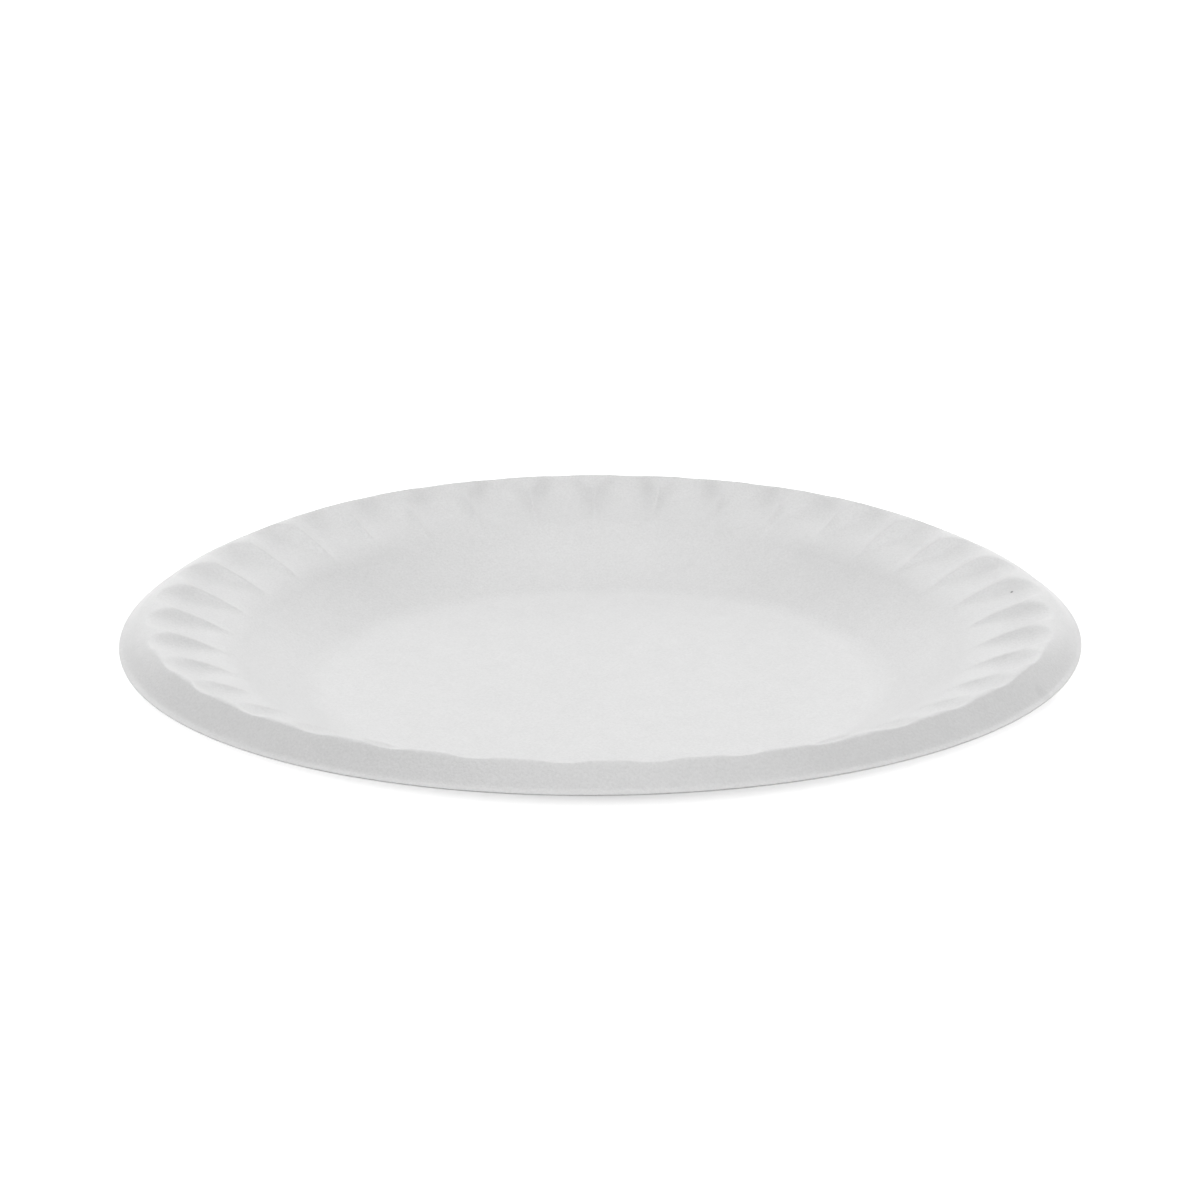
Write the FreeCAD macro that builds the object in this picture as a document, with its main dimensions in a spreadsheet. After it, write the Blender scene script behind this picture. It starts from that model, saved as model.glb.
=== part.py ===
import FreeCAD, Part
import math
import os
import Sketcher

# A foam plate, pressed as one piece from a sheet of polystyrene foam. It has a flat floor, a sloping
# side wall with flutes, a smooth crest, and an outer band that falls to a thin crimped lip.
# Millimetres. The origin is the middle of the underside of the floor, and +Z is up.

Vector = FreeCAD.Vector
doc = FreeCAD.newDocument("foam_plate")

# ---------------------------------------------------------------------------------------------
# Sizes. Radii are measured from the plate's axis, and heights from the table that it stands on.

DRIVING_SIZES = [
    ("plate_diameter", 152.4, "across the lip"),
    ("foam_thickness", 1.8, "of the floor, the wall and the crest"),
    ("floor_fillet", 5.0, "radius between the floor and the wall, on both sides"),
    ("wall_slope", 30.0, "degrees, from the floor"),
    ("flute_start_radius", 57.0, "where the flutes begin on the wall"),
    ("flute_start_height", 8.5, "of the wall's upper side there"),
    ("flute_count", 36, "all the way round"),
    ("flute_pull", 2.4, "how far the scoop's shoulder is pulled down"),
    ("wall_handle", 5.25, "how far the wall's slope carries into the shoulder"),
    ("crest_handle", 4.0, "how far the crest's level carries into the shoulder"),
    ("back_relief", 0.6, "share of the flutes' relief that shows on the back"),
    ("crest_radius", 71.2, "where the flutes end at the crest"),
    ("crest_flat", 0.4, "width of the level top of the crest"),
    ("crest_height", 15.8, "which is the height of the plate"),
    ("crest_rounding", 2.0, "radius from the crest over to the outer band"),
    ("lip_height", 12.6, "of the lip's underside"),
    ("lip_thickness", 0.55, "of the crimped edge"),
    ("lip_width", 0.8, "of the flat top of the crimp"),
]

sizes = doc.addObject("Spreadsheet::Sheet", "sizes")
for row, (alias, value, note) in enumerate(DRIVING_SIZES, start=1):
    sizes.set("A%d" % row, alias)
    sizes.set("B%d" % row, str(value))
    sizes.set("C%d" % row, note)
    sizes.setAlias("B%d" % row, alias)
doc.recompute()


def size(alias):
    """A driving size, as a plain number."""
    return float(sizes.get(alias))


# ---------------------------------------------------------------------------------------------
# Half sections. The two turned parts of the plate are drawn with the radius as x, the height as y.

START, END = 1, 2  # the end points of a sketch's edge
ORIGIN = (-1, 1)


def new_half_section(body, name):
    """An empty sketch on the body's own XZ plane."""
    sketch = body.newObject("Sketcher::SketchObject", name)
    plane = next(feature for feature in body.Origin.OriginFeatures if feature.Role == "XZ_Plane")
    sketch.AttachmentSupport = [(plane, "")]
    sketch.MapMode = "FlatFace"
    return sketch


def draw_line(sketch, start, end):
    return sketch.addGeometry(Part.LineSegment(Vector(*start), Vector(*end)), False)


def draw_arc(sketch, start, between, end):
    return sketch.addGeometry(Part.Arc(Vector(*start), Vector(*between), Vector(*end)), False)


def relate(sketch, kind, *places):
    sketch.addConstraint(Sketcher.Constraint(kind, *places))


def drive(sketch, kind, *places_and_value, by):
    """Adds a dimension at its drawn value, then ties it to the sheet."""
    index = sketch.addConstraint(Sketcher.Constraint(kind, *places_and_value))
    sketch.setExpression("Constraints[%d]" % index, by)


def drive_point(sketch, edge, point, radius=None, height=None):
    """Ties the radius, the height or both of one point to the sheet."""
    drawn = sketch.getPoint(edge, point)
    if radius:
        drive(sketch, "DistanceX", *ORIGIN, edge, point, drawn.x, by=radius)
    if height:
        drive(sketch, "DistanceY", *ORIGIN, edge, point, drawn.y, by=height)


def turn(body, name, sketch):
    """Revolves a half section about the plate's axis."""
    turned = body.newObject("PartDesign::Revolution", name)
    turned.Profile = sketch
    turned.ReferenceAxis = (sketch, ["V_Axis"])
    turned.Angle = 360
    body.Tip = turned


# ---------------------------------------------------------------------------------------------
# The floor, and the plain lower part of the wall. The two meet in a fillet, which has the same
# radius on the front and on the back of the foam.


def along(angle, length):
    """A step in the half section, at an angle from the floor."""
    return Vector(math.cos(angle), math.sin(angle)) * length


def bend_points(corner, slope):
    """Start, middle and end of the fillet that rounds a corner between the floor and the wall."""
    radius = size("floor_fillet")
    start = corner - along(0, radius * math.tan(slope / 2))
    centre = start + Vector(0, radius)
    middle = centre + along(slope / 2 - math.pi / 2, radius)
    return start, middle, centre + along(slope - math.pi / 2, radius)


def draw_floor_and_wall(body):
    sketch = new_half_section(body, "floor_and_wall_section")
    slope = math.radians(size("wall_slope"))
    foam = size("foam_thickness")
    wall_end = Vector(size("flute_start_radius"), size("flute_start_height"))
    back_end = wall_end - Vector(0, foam / math.cos(slope))
    corner = Vector(wall_end.x - (wall_end.y - foam) / math.tan(slope), foam)
    back_corner = corner + Vector(foam * math.tan(slope / 2), -foam)
    front = bend_points(corner, slope)
    back = bend_points(back_corner, slope)

    floor_front = draw_line(sketch, (0, foam), front[0])
    bend_front = draw_arc(sketch, *front)
    wall_front = draw_line(sketch, front[2], wall_end)
    cut = draw_line(sketch, wall_end, back_end)
    wall_back = draw_line(sketch, back_end, back[2])
    bend_back = draw_arc(sketch, *back)
    floor_back = draw_line(sketch, back[0], (0, 0))
    axis = draw_line(sketch, (0, 0), (0, foam))

    relate(sketch, "Tangent", floor_front, END, bend_front, START)
    relate(sketch, "Tangent", bend_front, END, wall_front, START)
    relate(sketch, "Coincident", wall_front, END, cut, START)
    relate(sketch, "Coincident", cut, END, wall_back, START)
    relate(sketch, "Tangent", wall_back, END, bend_back, END)
    relate(sketch, "Tangent", bend_back, START, floor_back, START)
    relate(sketch, "Coincident", floor_back, END, axis, START)
    relate(sketch, "Coincident", axis, END, floor_front, START)
    relate(sketch, "Coincident", axis, START, *ORIGIN)
    relate(sketch, "Vertical", axis)
    relate(sketch, "Vertical", cut)
    relate(sketch, "Horizontal", floor_front)
    relate(sketch, "Horizontal", floor_back)
    relate(sketch, "Parallel", wall_back, wall_front)
    drive_point(sketch, axis, END, height="sizes.foam_thickness")
    drive_point(
        sketch, wall_front, END, radius="sizes.flute_start_radius", height="sizes.flute_start_height"
    )
    drive(sketch, "Angle", wall_front, slope, by="sizes.wall_slope * 1 deg")
    drive(sketch, "Radius", bend_front, size("floor_fillet"), by="sizes.floor_fillet")
    drive(sketch, "Radius", bend_back, size("floor_fillet"), by="sizes.floor_fillet")
    drive(sketch, "Distance", cut, END, wall_front, foam, by="sizes.foam_thickness")
    return sketch


floor_and_wall = doc.addObject("PartDesign::Body", "floor_and_wall")
floor_section = draw_floor_and_wall(floor_and_wall)
turn(floor_and_wall, "turned_floor_and_wall", floor_section)

# ---------------------------------------------------------------------------------------------
# The rim. Its crest is level for a moment, then rounds over to the outer band, which falls in a
# straight line to the lip. There the foam is crimped to a thin flat edge. Under the band the rim is
# hollow, and the foam thins towards the lip.


def draw_rim(body):
    sketch = new_half_section(body, "rim_section")
    radius = size("plate_diameter") / 2
    lip_top = size("lip_height") + size("lip_thickness")
    crest = Vector(size("crest_radius"), size("crest_height"))
    crest_end = crest + Vector(size("crest_flat"), 0)
    centre = crest_end - Vector(0, size("crest_rounding"))
    band_foot = Vector(radius - size("lip_width"), lip_top)
    sight = band_foot - centre
    band_turn = math.atan2(sight.y, sight.x) + math.acos(size("crest_rounding") / sight.Length)
    band_head = centre + along(band_turn, size("crest_rounding"))
    between = centre + along((band_turn + math.pi / 2) / 2, size("crest_rounding"))
    crimp_end = Vector(radius - 2 * size("lip_width"), size("lip_height"))
    crest_back = crest - Vector(0, size("foam_thickness"))

    flat = draw_line(sketch, crest, crest_end)
    rounding = draw_arc(sketch, crest_end, between, band_head)
    band = draw_line(sketch, band_head, band_foot)
    crimp_top = draw_line(sketch, band_foot, (radius, lip_top))
    edge = draw_line(sketch, (radius, lip_top), (radius, size("lip_height")))
    crimp_back = draw_line(sketch, (radius, size("lip_height")), crimp_end)
    hollow = draw_line(sketch, crimp_end, crest_back)
    cut = draw_line(sketch, crest_back, crest)

    relate(sketch, "Coincident", cut, END, flat, START)
    relate(sketch, "Tangent", flat, END, rounding, END)
    relate(sketch, "Tangent", rounding, START, band, START)
    relate(sketch, "Coincident", band, END, crimp_top, START)
    relate(sketch, "Coincident", crimp_top, END, edge, START)
    relate(sketch, "Coincident", edge, END, crimp_back, START)
    relate(sketch, "Coincident", crimp_back, END, hollow, START)
    relate(sketch, "Coincident", hollow, END, cut, START)
    relate(sketch, "Horizontal", flat)
    relate(sketch, "Horizontal", crimp_top)
    relate(sketch, "Vertical", edge)
    relate(sketch, "Horizontal", crimp_back)
    relate(sketch, "Vertical", cut)
    drive_point(sketch, cut, END, radius="sizes.crest_radius", height="sizes.crest_height")
    drive_point(sketch, cut, START, height="sizes.crest_height - sizes.foam_thickness")
    drive_point(sketch, flat, END, radius="sizes.crest_radius + sizes.crest_flat")
    drive_point(
        sketch, edge, END, radius="sizes.plate_diameter / 2", height="sizes.lip_height"
    )
    drive_point(
        sketch,
        band,
        END,
        radius="sizes.plate_diameter / 2 - sizes.lip_width",
        height="sizes.lip_height + sizes.lip_thickness",
    )
    drive_point(sketch, crimp_back, END, radius="sizes.plate_diameter / 2 - 2 * sizes.lip_width")
    drive(sketch, "Radius", rounding, size("crest_rounding"), by="sizes.crest_rounding")
    return sketch


rim = doc.addObject("PartDesign::Body", "rim")
rim_section = draw_rim(rim)
turn(rim, "turned_rim", rim_section)
doc.recompute()

# ---------------------------------------------------------------------------------------------
# The flutes: shallow scoops side by side, which meet in sharp ridges. Along a ridge the wall rounds
# over to the crest early. Along the bottom of a scoop it stays low for longer, and then rises
# steeply. Both lines leave the plain wall at its own slope, so a scoop begins without an edge.
# Each half of a scoop is one spline surface, from a ridge to the bottom of the scoop. Its edges
# on the wall and on the crest are true arcs, so it meets the turned parts exactly.


def control_points(start, end, pull):
    """Four points that shape a line from the wall to the crest, with its shoulder pulled down."""
    slope = math.radians(size("wall_slope"))
    return [
        start,
        start + along(slope, size("wall_handle")),
        end - Vector(size("crest_handle"), pull),
        end,
    ]


def half_scoop(ridge, bottom):
    """The surface from a ridge to the bottom of the scoop, which lies in the XZ plane."""
    half_pitch = math.pi / size("flute_count")
    poles = []
    weights = []
    for on_ridge, on_bottom in zip(ridge, bottom):
        at_ridge = Vector(
            on_ridge.x * math.cos(half_pitch), -on_ridge.x * math.sin(half_pitch), on_ridge.y
        )
        level = Vector(on_bottom.x, -on_bottom.x * math.tan(half_pitch / 2), on_bottom.y)
        poles.append([at_ridge, level, Vector(on_bottom.x, 0, on_bottom.y)])
        weights.append([1, math.cos(half_pitch / 2), 1])
    surface = Part.BSplineSurface()
    surface.buildFromPolesMultsKnots(
        poles, [4, 4], [3, 3], [0, 1], [0, 1], False, False, 3, 2, weights
    )
    return surface.toShape()


def end_face(radius, low, high):
    """The part of a cylinder about the plate's axis that closes one end of a flute."""
    half_pitch = math.pi / size("flute_count")
    cylinder = Part.Cylinder()
    cylinder.Radius = radius
    return cylinder.toShape(-half_pitch, half_pitch, low, high)


def one_flute(wall_front, wall_back, crest_front, crest_back):
    """The faces of one flute, without its sides, where it joins the next ones."""
    pull = size("flute_pull")
    front = half_scoop(
        control_points(wall_front, crest_front, 0),
        control_points(wall_front, crest_front, pull),
    )
    back = half_scoop(
        control_points(wall_back, crest_back, 0),
        control_points(wall_back, crest_back, pull * size("back_relief")),
    )
    faces = [front, back]
    faces += [face.mirror(Vector(0, 0, 0), Vector(0, 1, 0)) for face in (front, back)]
    faces.append(end_face(wall_front.x, wall_back.y, wall_front.y))
    faces.append(end_face(crest_front.x, crest_back.y, crest_front.y))
    return faces


def all_flutes():
    slope = math.radians(size("wall_slope"))
    foam = size("foam_thickness")
    wall_front = Vector(size("flute_start_radius"), size("flute_start_height"))
    wall_back = wall_front - Vector(0, foam / math.cos(slope))
    crest_front = Vector(size("crest_radius"), size("crest_height"))
    crest_back = crest_front - Vector(0, foam)
    flute = one_flute(wall_front, wall_back, crest_front, crest_back)
    faces = []
    for number in range(int(size("flute_count"))):
        turned = 360 / size("flute_count") * (number + 0.5)
        for face in flute:
            copy = face.copy()
            copy.rotate(Vector(0, 0, 0), Vector(0, 0, 1), turned)
            faces.append(copy)
    shell = Part.Shell(faces)
    shell.sewShape()
    return Part.Solid(shell)


flutes = doc.addObject("Part::Feature", "flutes")
flutes.Shape = all_flutes()

# ---------------------------------------------------------------------------------------------
# The plate is one piece: the floor, the flutes and the rim are the same foam.

plate = doc.addObject("Part::MultiFuse", "foam_plate")
plate.Shapes = [flutes, floor_and_wall, rim]
plate.Refine = True
doc.recompute()

for thing in doc.Objects:
    if "Invalid" in thing.State or "Error" in thing.State:
        raise RuntimeError("%s failed: %s" % (thing.Name, thing.State))
for sketch in (floor_section, rim_section):
    if not sketch.FullyConstrained:
        raise RuntimeError("%s isn't fully constrained" % sketch.Name)
for thing in (floor_and_wall, flutes, rim, plate):
    if thing.Shape.isNull() or not thing.Shape.isValid():
        raise RuntimeError("%s has no valid shape" % thing.Name)
if len(plate.Shape.Solids) != 1:
    raise RuntimeError("the plate isn't one solid")

os.makedirs("parts", exist_ok=True)
plate.Shape.exportStep("parts/%s.step" % plate.Label)
print("volume %.0f mm3, %d faces" % (plate.Shape.Volume, len(plate.Shape.Faces)))
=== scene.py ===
import math
import bmesh
import bpy
from mathutils import Matrix, Vector


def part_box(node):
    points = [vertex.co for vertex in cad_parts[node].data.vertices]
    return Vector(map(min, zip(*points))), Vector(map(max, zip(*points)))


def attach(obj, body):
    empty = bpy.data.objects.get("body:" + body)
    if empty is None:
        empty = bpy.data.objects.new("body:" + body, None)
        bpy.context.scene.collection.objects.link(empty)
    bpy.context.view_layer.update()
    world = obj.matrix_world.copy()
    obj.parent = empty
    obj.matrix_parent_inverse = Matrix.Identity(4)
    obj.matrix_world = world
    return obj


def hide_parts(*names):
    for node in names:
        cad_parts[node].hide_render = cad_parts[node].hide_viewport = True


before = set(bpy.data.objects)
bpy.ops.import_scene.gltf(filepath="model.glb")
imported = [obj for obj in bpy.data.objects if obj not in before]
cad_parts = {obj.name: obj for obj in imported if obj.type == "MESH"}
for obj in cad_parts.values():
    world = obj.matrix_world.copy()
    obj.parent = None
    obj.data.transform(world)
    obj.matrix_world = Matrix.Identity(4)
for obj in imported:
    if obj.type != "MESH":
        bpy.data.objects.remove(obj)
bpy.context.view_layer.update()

# ---------------------------------------------------------------------------------------------
# The plate is one sheet of white polystyrene foam, pressed warm between two moulds.
# The moulds give it a flat floor, a sloping wall with 36 scoops between sharp ridges, a crest,
# and an outer band that falls to the lip, where the foam is crushed to a thin edge.

low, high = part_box("foam_plate")
lip_radius = high.x
plate_height = high.z
foam = 0.0018
wall_slope = math.radians(30)
wall_sag = 0.0002
floor_fillet = 0.0100
middle_radius = 0.004

# The start of the flutes on the wall, and the crest that they climb to: each a radius and a height.
flute_start = Vector((0.0570, 0.0085))
crest = Vector((0.0713, plate_height))
crest_rounding = 0.0011
ridge_slopes = math.radians(37), math.radians(22)
ridge_handles = 0.0050, 0.0045

# Each scoop deepens slowly outwards and closes fast: with its run going from 0 to 1, the depth
# follows run**scoop_deepening * (1 - run)**scoop_closing, which is scoop_peak at its highest.
flutes = 36
scoop_depth = 0.00145
scoop_reach = 0.0720
scoop_end_bow = 0.0024
scoop_deepening = 2.4
scoop_closing = 1.2
scoop_peak = 0.1012
scoop_flare_from = 0.8
scoop_flatness = 4.6
scoop_flatness_lost = 2.6
back_relief = 0.6

# The lip's top falls a little outwards. Its edge is rounded above and below.
lip_height = 0.0126
lip_width = 0.0008
lip_thickness = 0.00024
lip_fall = 0.00018
crimp_rounding = 0.00010

# The plate has warped: its rim hangs a little at the two sides, and its crest is softer there.
droop = 0.00127
droop_turn = math.radians(8)
soft_reach = 0.0030
soft_from = -0.036, -0.008
soft_to = 0.030, 0.065

# The mesh is finer at the ridges and towards the crest.
columns_per_flute = 18
column_crowding = 0.55
ring_crowding = 1.3


def along(angle, length):
    return Vector((math.cos(angle), math.sin(angle))) * length


def straight(start, end, steps):
    """Points from start up to, but without, end."""
    return [start.lerp(end, step / steps) for step in range(steps)]


def sagging(start, end, steps):
    """Points on the wall from start up to, but without, end: a line that sags a little."""
    points = []
    for step in range(steps):
        share = step / steps
        sag = Vector((0, wall_sag * 4 * share * (1 - share)))
        points.append(start.lerp(end, share) - sag)
    return points


def rounded(centre, radius, first, last, steps):
    """Points on an arc about centre, from the first angle up to, but without, the last."""
    return [centre + along(first + (last - first) * step / steps, radius) for step in range(steps)]


def plain(points):
    """Rings with no flutes: radius, height, and no relief."""
    return [(point.x, point.y, 0.0) for point in points]


def cut_by_scoops(points):
    """Rings that the scoops still reach: radius, height, and full relief."""
    return [(point.x, point.y, 1.0) for point in points]


def height_on(line, radius):
    """Height, at one radius, of the smooth line that four points shape."""
    lower, upper = 0.0, 1.0
    for halving in range(30):
        share = (lower + upper) / 2
        rest = 1 - share
        point = (
            line[0] * rest**3
            + line[1] * 3 * rest**2 * share
            + line[2] * 3 * rest * share**2
            + line[3] * share**3
        )
        if point.x < radius:
            lower = share
        else:
            upper = share
    return point.y


def fluted(start, end, relief, steps):
    """Rings across the flutes, closer together towards the crest."""
    ridge = [
        start,
        start + along(ridge_slopes[0], ridge_handles[0]),
        end - along(ridge_slopes[1], ridge_handles[1]),
        end,
    ]
    rings = []
    for step in range(steps):
        share = 1 - (1 - step / steps) ** ring_crowding
        radius = start.x + (end.x - start.x) * share
        rings.append((radius, height_on(ridge, radius), relief))
    return rings


def floor_corner():
    """Where the upper side of the floor and the wall would meet with no fillet."""
    return flute_start - along(wall_slope, (flute_start.y - foam) / math.sin(wall_slope))


def floor_bend(corner):
    """The fillet between floor and wall: where it starts, its centre, and where it ends."""
    start = corner - Vector((floor_fillet * math.tan(wall_slope / 2), 0))
    centre = start + Vector((0, floor_fillet))
    return start, centre, centre + along(wall_slope - math.pi / 2, floor_fillet)


def band_foot():
    """Where the outer band ends on the lip."""
    return Vector((lip_radius - lip_width, lip_height + lip_thickness + lip_fall))


def front_rings():
    """From the middle of the floor, up the wall and over the crest, down to the lip."""
    bend_start, bend_centre, bend_end = floor_bend(floor_corner())
    rounding_centre = crest - Vector((0, crest_rounding))
    ridge_turn = math.pi / 2 + ridge_slopes[1]
    ridge_end = rounding_centre + along(ridge_turn, crest_rounding)
    sight = band_foot() - rounding_centre
    band_turn = math.atan2(sight.y, sight.x) + math.acos(crest_rounding / sight.length)
    band_head = rounding_centre + along(band_turn, crest_rounding)
    rings = plain(straight(Vector((middle_radius, foam)), bend_start, 12))
    rings += plain(rounded(bend_centre, floor_fillet, -math.pi / 2, wall_slope - math.pi / 2, 8))
    rings += plain(sagging(bend_end, flute_start, 9))
    rings += fluted(flute_start, ridge_end, 1.0, 42)
    rings += cut_by_scoops(rounded(rounding_centre, crest_rounding, ridge_turn, band_turn, 14))
    rings += cut_by_scoops(straight(band_head, band_foot(), 10))
    return rings


def lip_top_rings():
    """The top of the lip, out to its rounded edge."""
    edge = Vector((lip_radius - crimp_rounding, lip_height + lip_thickness))
    return plain(straight(band_foot(), edge, 4))


def lip_edge_rings():
    """The crushed edge, rounded above and below."""
    inner = lip_radius - crimp_rounding
    upper = Vector((inner, lip_height + lip_thickness - crimp_rounding))
    lower = Vector((inner, lip_height + crimp_rounding))
    rings = plain(rounded(upper, crimp_rounding, math.pi / 2, 0, 4))
    rings += plain(rounded(lower, crimp_rounding, 0, -math.pi / 2, 4))
    rings += plain([Vector((inner, lip_height))])
    return rings


def back_rings():
    """From the lip, under the band, and back along the underside to the middle."""
    crest_back = crest - Vector((0, foam))
    wall_back = flute_start - Vector((0, foam / math.cos(wall_slope)))
    back_corner = floor_corner() + Vector((foam * math.tan(wall_slope / 2), -foam))
    bend_start, bend_centre, bend_end = floor_bend(back_corner)
    rings = plain(straight(Vector((lip_radius - 2 * lip_width, lip_height)), crest_back, 5))
    rings.append((crest_back.x, crest_back.y, back_relief))
    rings += fluted(wall_back, crest_back, back_relief, 20)[::-1]
    rings += plain(sagging(bend_end, wall_back, 5)[::-1])
    rings += plain(rounded(bend_centre, floor_fillet, wall_slope - math.pi / 2, -math.pi / 2, 6))
    rings += plain(straight(bend_start, Vector((middle_radius, 0)), 5))
    rings += plain([Vector((middle_radius, 0))])
    return rings


def rising(value, start, end):
    """0 before start, 1 past end, and smooth between."""
    share = min(max((value - start) / (end - start), 0), 1)
    return share * share * (3 - 2 * share)


def scoop_at(radius, share):
    """Depth of a scoop under the ridges. Share is 0 at its middle and 1 on a ridge."""
    wave = ((1 - math.cos(math.pi * share)) / 2) ** 2
    end = scoop_reach - scoop_end_bow * wave
    run = (radius - flute_start.x) / (end - flute_start.x)
    if run <= 0 or run >= 1:
        return 0.0
    along_it = run**scoop_deepening * (1 - run) ** scoop_closing / scoop_peak
    flare = rising(run, scoop_flare_from, 1)
    flat_bottom = 1 - share ** (scoop_flatness - scoop_flatness_lost * run)
    across = flat_bottom * (1 - flare) + (1 - wave) * flare
    return scoop_depth * along_it * across


def sideways(radius, angle):
    """How far the warped rim hangs down: most at the two sides, and not at all on the floor."""
    reach = max(radius - flute_start.x, 0) / (lip_radius - flute_start.x)
    return droop * reach**3 * math.cos(angle - droop_turn) ** 2


def height_across(profile, radius):
    """Height of the upper side at one radius, straight between its rings."""
    for inner, outer in zip(profile, profile[1:]):
        if radius <= outer[0]:
            share = (radius - inner[0]) / (outer[0] - inner[0])
            return inner[1] + (outer[1] - inner[1]) * share
    return profile[-1][1]


def softening(profile, radius):
    """How far a ring sinks where the crest is soft: to the mean height of what is around it."""
    half = min(soft_reach, lip_radius - radius)
    if radius < flute_start.x or half <= 0:
        return 0.0
    around = [height_across(profile, radius + half * step / 4) for step in range(-4, 5)]
    sunk = height_across(profile, radius) - sum(around) / len(around)
    return sunk * rising(radius, flute_start.x, flute_start.x + soft_reach * 2)


def softness(radius, angle):
    """How soft the crest is: fully at the two sides, and not at all at the front and the back."""
    depth = radius * math.sin(angle)
    return rising(depth, *soft_from) * (1 - rising(depth, *soft_to))


def scoop_columns():
    """For each column of one flute, its turn from the ridge and how near to a ridge it is."""
    half = columns_per_flute // 2
    columns = []
    for column in range(columns_per_flute):
        spread = column / half if column <= half else 2 - column / half
        from_ridge = (1 - column_crowding) * spread + column_crowding * spread**2
        turn = from_ridge / 2 if column <= half else 1 - from_ridge / 2
        columns.append((turn, 1 - from_ridge))
    return columns


def press_plate():
    """The whole skin of the plate, ring by ring, with a fan of faces in the middle of each side."""
    skin = bmesh.new()
    upper_side = front_rings() + lip_top_rings()
    columns = scoop_columns()
    rows = []
    for radius, top, relief in upper_side + lip_edge_rings() + back_rings():
        row = []
        depths = [relief * scoop_at(radius, share) if relief else 0.0 for turn, share in columns]
        sunk = softening(upper_side, radius)
        for flute in range(flutes):
            for (turn, share), depth in zip(columns, depths):
                angle = (flute + turn) * 2 * math.pi / flutes
                level = top - depth - sideways(radius, angle) - sunk * softness(radius, angle)
                place = (radius * math.cos(angle), radius * math.sin(angle), level)
                row.append(skin.verts.new(place))
        rows.append(row)
    for row, following in zip(rows, rows[1:]):
        for column in range(len(row)):
            beside = (column + 1) % len(row)
            skin.faces.new((row[column], following[column], following[beside], row[beside]))
    for row, level in ((rows[0], foam), (rows[-1], 0.0)):
        middle = skin.verts.new((0, 0, level))
        for column in range(len(row)):
            beside = (column + 1) % len(row)
            skin.faces.new((middle, row[column], row[beside]))
    bmesh.ops.recalc_face_normals(skin, faces=skin.faces)
    mesh = bpy.data.meshes.new("pressed_foam")
    skin.to_mesh(mesh)
    skin.free()
    for face in mesh.polygons:
        face.use_smooth = True
    return mesh


def node(material, kind, **settings):
    """Adds a shader node and sets its sockets and its own settings by name."""
    made = material.node_tree.nodes.new(kind)
    for name, value in settings.items():
        socket = made.inputs.get(name.replace("_", " "))
        if socket is not None:
            socket.default_value = value
        else:
            setattr(made, name, value)
    return made


# Faint clouds make up a fifth of the foam's unevenness, and its fine grain makes up the rest.
cloud_share = 0.2

# Dark spots on the foam: a speck of dirt in a scoop, and a faint darker patch on the band beside
# the lip. Each has its place seen from above, its size, and how much it darkens the foam.
dark_spots = (
    ((0.0675, 0.0084, 0), 0.0003, 0.75),
    # A faint darker patch on the band beside the lip.
    ((0.0648, -0.0384, 0), 0.0018, 0.07),
)


def darken_spots(material, place, clean):
    """Darkens the clean colour round each dark spot."""
    link = material.node_tree.links.new
    flat = node(material, "ShaderNodeVectorMath", operation="MULTIPLY")
    flat.inputs[1].default_value = (1, 1, 0)
    link(place, flat.inputs[0])
    for centre, size, darkness in dark_spots:
        away = node(material, "ShaderNodeVectorMath", operation="DISTANCE")
        away.inputs[1].default_value = centre
        spot = node(
            material,
            "ShaderNodeMapRange",
            interpolation_type="SMOOTHSTEP",
            From_Min=size / 3,
            From_Max=size,
            To_Min=1 - darkness,
        )
        stained = node(material, "ShaderNodeVectorMath", operation="SCALE")
        link(flat.outputs["Vector"], away.inputs[0])
        link(away.outputs["Value"], spot.inputs["Value"])
        link(clean, stained.inputs[0])
        link(spot.outputs["Result"], stained.inputs["Scale"])
        clean = stained.outputs["Vector"]
    return clean


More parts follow.
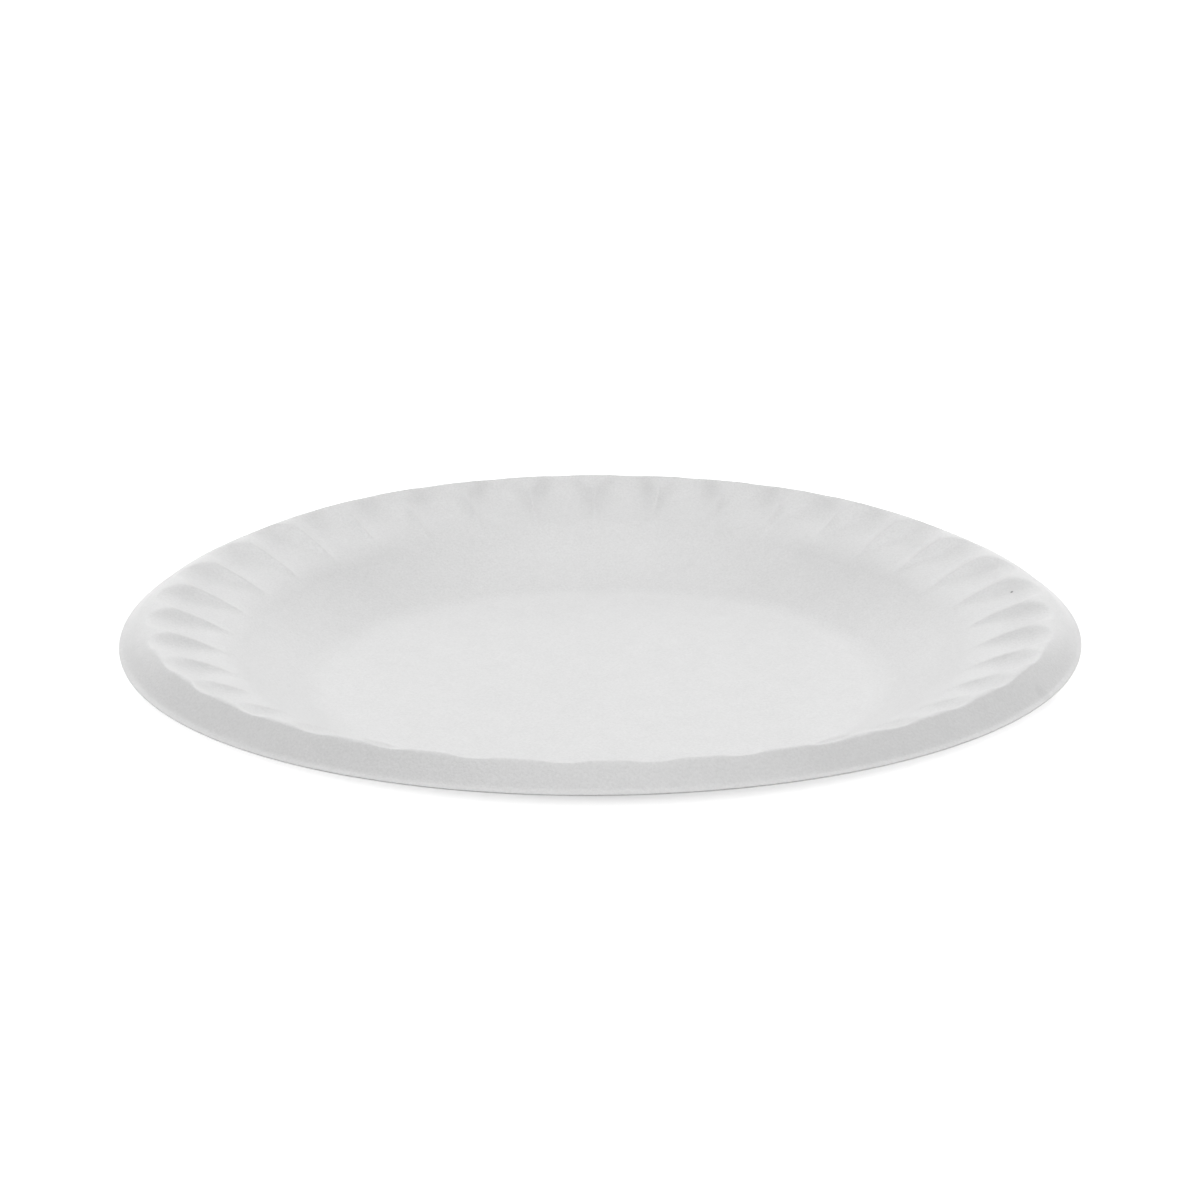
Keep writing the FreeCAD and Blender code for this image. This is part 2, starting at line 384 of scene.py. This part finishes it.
def foam_skin():
    """White foam: a skin with a little gloss, a fine grain of cells, faint clouds, a speck and a
    faint darker patch.
    """
    material = bpy.data.materials.new("white_foam_skin")
    material.use_nodes = True
    link = material.node_tree.links.new
    shader = material.node_tree.nodes["Principled BSDF"]
    shader.inputs["Roughness"].default_value = 0.36
    shader.inputs["Specular IOR Level"].default_value = 0.5

    place = node(material, "ShaderNodeTexCoord").outputs["Object"]
    clouds = node(material, "ShaderNodeTexNoise", Scale=160.0, Detail=4.0, Roughness=0.6)
    grain = node(material, "ShaderNodeTexNoise", Scale=2600.0, Detail=3.0, Roughness=0.65)
    cells = node(material, "ShaderNodeTexVoronoi", Scale=1700.0)
    for texture in (clouds, grain, cells):
        link(place, texture.inputs["Vector"])

    cloudy = node(material, "ShaderNodeMath", operation="MULTIPLY")
    cloudy.inputs[1].default_value = cloud_share
    grainy = node(material, "ShaderNodeMath", operation="MULTIPLY")
    grainy.inputs[1].default_value = 1 - cloud_share
    mixed = node(material, "ShaderNodeMath", operation="ADD")
    tint = node(material, "ShaderNodeValToRGB")
    tint.color_ramp.elements[0].position = 0.25
    tint.color_ramp.elements[0].color = (0.785, 0.785, 0.785, 1)
    tint.color_ramp.elements[1].position = 0.75
    tint.color_ramp.elements[1].color = (0.925, 0.925, 0.925, 1)
    link(clouds.outputs["Fac"], cloudy.inputs[0])
    link(grain.outputs["Fac"], grainy.inputs[0])
    link(cloudy.outputs[0], mixed.inputs[0])
    link(grainy.outputs[0], mixed.inputs[1])
    link(mixed.outputs[0], tint.inputs["Fac"])
    link(darken_spots(material, place, tint.outputs["Color"]), shader.inputs["Base Color"])

    fine = node(material, "ShaderNodeBump", Strength=0.5, Distance=0.0001)
    coarse = node(material, "ShaderNodeBump", Strength=0.3, Distance=0.00005)
    link(grain.outputs["Fac"], fine.inputs["Height"])
    link(cells.outputs["Distance"], coarse.inputs["Height"])
    link(coarse.outputs["Normal"], fine.inputs["Normal"])
    link(fine.outputs["Normal"], shader.inputs["Normal"])
    return material


plate = bpy.data.objects.new("pressed_plate", press_plate())
bpy.context.scene.collection.objects.link(plate)
plate.data.materials.append(foam_skin())
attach(plate, "root")
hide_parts("foam_plate")

# ---------------------------------------------------------------------------------------------
# The table is a plain white sweep. It looks evenly white, apart from a painted shadow in its
# glow: the plate's soft shadow as a light from the front would throw it, drawn as an oval, set back
# behind the plate, that fades out under its far half.

table_gap = 0.00005
# Place, size, soft edge and depth of the painted shadow, which dims the table's glow.
shadow_centre = 0.0006, 0.0411, 0
shadow_reach = 0.0852, 0.0882
shadow_softness = 0.0030, 0.0050
shadow_depth = 0.45

table_mesh = bpy.data.meshes.new("sweep")
sheet = bmesh.new()
bmesh.ops.create_grid(sheet, x_segments=8, y_segments=8, size=4.0)
sheet.to_mesh(table_mesh)
sheet.free()
table = bpy.data.objects.new("sweep", table_mesh)
table.location.z = low.z - table_gap
bpy.context.scene.collection.objects.link(table)


def shadowed(material):
    """How white the table looks at each place: 1, and less in the painted shadow."""
    link = material.node_tree.links.new
    place = node(material, "ShaderNodeTexCoord").outputs["Object"]
    shifted = node(material, "ShaderNodeVectorMath", operation="SUBTRACT")
    shifted.inputs[1].default_value = shadow_centre
    scaled = node(material, "ShaderNodeVectorMath", operation="DIVIDE")
    scaled.inputs[1].default_value = (*shadow_reach, 1)
    reach = node(material, "ShaderNodeVectorMath", operation="LENGTH")
    edge = node(
        material,
        "ShaderNodeMapRange",
        interpolation_type="SMOOTHSTEP",
        From_Min=1 - shadow_softness[0] / shadow_reach[1],
        From_Max=1 + shadow_softness[1] / shadow_reach[1],
        To_Min=shadow_depth,
        To_Max=0.0,
    )
    ways = node(material, "ShaderNodeSeparateXYZ")
    fading = node(
        material,
        "ShaderNodeMapRange",
        interpolation_type="SMOOTHSTEP",
        From_Max=lip_radius,
        To_Min=1.0,
        To_Max=0.0,
    )
    shade = node(material, "ShaderNodeMath", operation="MULTIPLY")
    whiteness = node(material, "ShaderNodeMath", operation="SUBTRACT")
    whiteness.inputs[0].default_value = 1.0
    link(place, shifted.inputs[0])
    link(shifted.outputs["Vector"], scaled.inputs[0])
    link(scaled.outputs["Vector"], reach.inputs[0])
    link(reach.outputs["Value"], edge.inputs["Value"])
    link(place, ways.inputs[0])
    link(ways.outputs["Y"], fading.inputs["Value"])
    link(edge.outputs["Result"], shade.inputs[0])
    link(fading.outputs["Result"], shade.inputs[1])
    link(shade.outputs[0], whiteness.inputs[1])
    return whiteness.outputs[0]


def sweep_white():
    """Matt white, and evenly bright where it is seen or mirrored, apart from the painted shadow."""
    material = bpy.data.materials.new("sweep_white")
    material.use_nodes = True
    nodes = material.node_tree.nodes
    link = material.node_tree.links.new
    shader = nodes["Principled BSDF"]
    shader.inputs["Base Color"].default_value = (0.8, 0.8, 0.8, 1)
    shader.inputs["Roughness"].default_value = 0.9
    shader.inputs["Specular IOR Level"].default_value = 0.1
    glow = node(material, "ShaderNodeEmission")
    path = node(material, "ShaderNodeLightPath")
    seen = node(material, "ShaderNodeMath", operation="MAXIMUM")
    share = node(material, "ShaderNodeMath", operation="MULTIPLY")
    both = node(material, "ShaderNodeAddShader")
    link(path.outputs["Is Camera Ray"], seen.inputs[0])
    link(path.outputs["Is Glossy Ray"], seen.inputs[1])
    link(seen.outputs[0], share.inputs[0])
    # The painted shadow dims the glow that the camera and mirrors see.
    link(shadowed(material), share.inputs[1])
    link(share.outputs[0], glow.inputs["Strength"])
    link(shader.outputs[0], both.inputs[0])
    link(glow.outputs[0], both.inputs[1])
    link(both.outputs[0], nodes["Material Output"].inputs["Surface"])
    return material


table.data.materials.append(sweep_white())

# ---------------------------------------------------------------------------------------------
# The light is a large soft box overhead, one on each side, two behind the plate, one of them
# low, and a faint one in front, in a plain white room.


def soft_box(name, place, width, depth, power):
    """A rectangular lamp that faces the plate."""
    lamp = bpy.data.lights.new(name, "AREA")
    lamp.shape = "RECTANGLE"
    lamp.size = width
    lamp.size_y = depth
    lamp.energy = power
    box = bpy.data.objects.new(name, lamp)
    box.location = place
    box.rotation_mode = "QUATERNION"
    box.rotation_quaternion = (-Vector(place)).to_track_quat("-Z", "Y")
    bpy.context.scene.collection.objects.link(box)


soft_box("overhead", (0.0, 0.0, 1.2), 1.0, 1.0, 9.7)
soft_box("behind", (0.0, 1.0, 0.6), 1.4, 0.6, 1.5)
soft_box("low_behind", (0.0, 1.2, 0.26), 1.6, 0.36, 0.5)
soft_box("front", (0.0, -1.15, 0.45), 1.4, 0.6, 0.35)
soft_box("left", (-1.1, 0.0, 0.55), 0.7, 1.4, 2.6)
soft_box("right", (1.1, 0.0, 0.55), 0.7, 1.4, 2.6)

# The room is white where it is seen or mirrored, and gives only a faint light of its own.
room_light = 0.03
room_whiteness = 1.0

world = bpy.data.worlds.new("pale_room")
bpy.context.scene.world = world
world.use_nodes = True
world_link = world.node_tree.links.new
air = world.node_tree.nodes["Background"]
air.inputs["Color"].default_value = (1, 1, 1, 1)
room_path = node(world, "ShaderNodeLightPath")
room_seen = node(world, "ShaderNodeMath", operation="MAXIMUM")
room_level = node(world, "ShaderNodeMapRange", To_Min=room_light, To_Max=room_whiteness)
world_link(room_path.outputs["Is Camera Ray"], room_seen.inputs[0])
world_link(room_path.outputs["Is Glossy Ray"], room_seen.inputs[1])
world_link(room_seen.outputs[0], room_level.inputs["Value"])
world_link(room_level.outputs["Result"], air.inputs["Strength"])

# ---------------------------------------------------------------------------------------------
# The camera looks down on the plate from the front, from near table height.

view_distance = 0.4367
view_rise = math.radians(18.61)
view_tilt = math.radians(18.31)
view_turn = math.radians(-0.87)
view_roll = math.radians(-0.19)

lens = bpy.data.cameras.new("camera")
lens.lens = 81.7
lens.sensor_width = 36.0
camera = bpy.data.objects.new("camera", lens)
up = Vector((0, 0, 1))
level_way = Vector((math.sin(view_turn), -math.cos(view_turn), 0))
way_to_camera = level_way * math.cos(view_rise) + up * math.sin(view_rise)
sight_line = -level_way * math.cos(view_tilt) - up * math.sin(view_tilt)
roll = Matrix.Rotation(view_roll, 3, "Z").to_quaternion()
camera.location = up * lip_height + way_to_camera * view_distance
camera.rotation_mode = "QUATERNION"
camera.rotation_quaternion = sight_line.to_track_quat("-Z", "Y") @ roll
bpy.context.scene.collection.objects.link(camera)
bpy.context.scene.camera = camera
bpy.context.scene.view_settings.view_transform = "Standard"
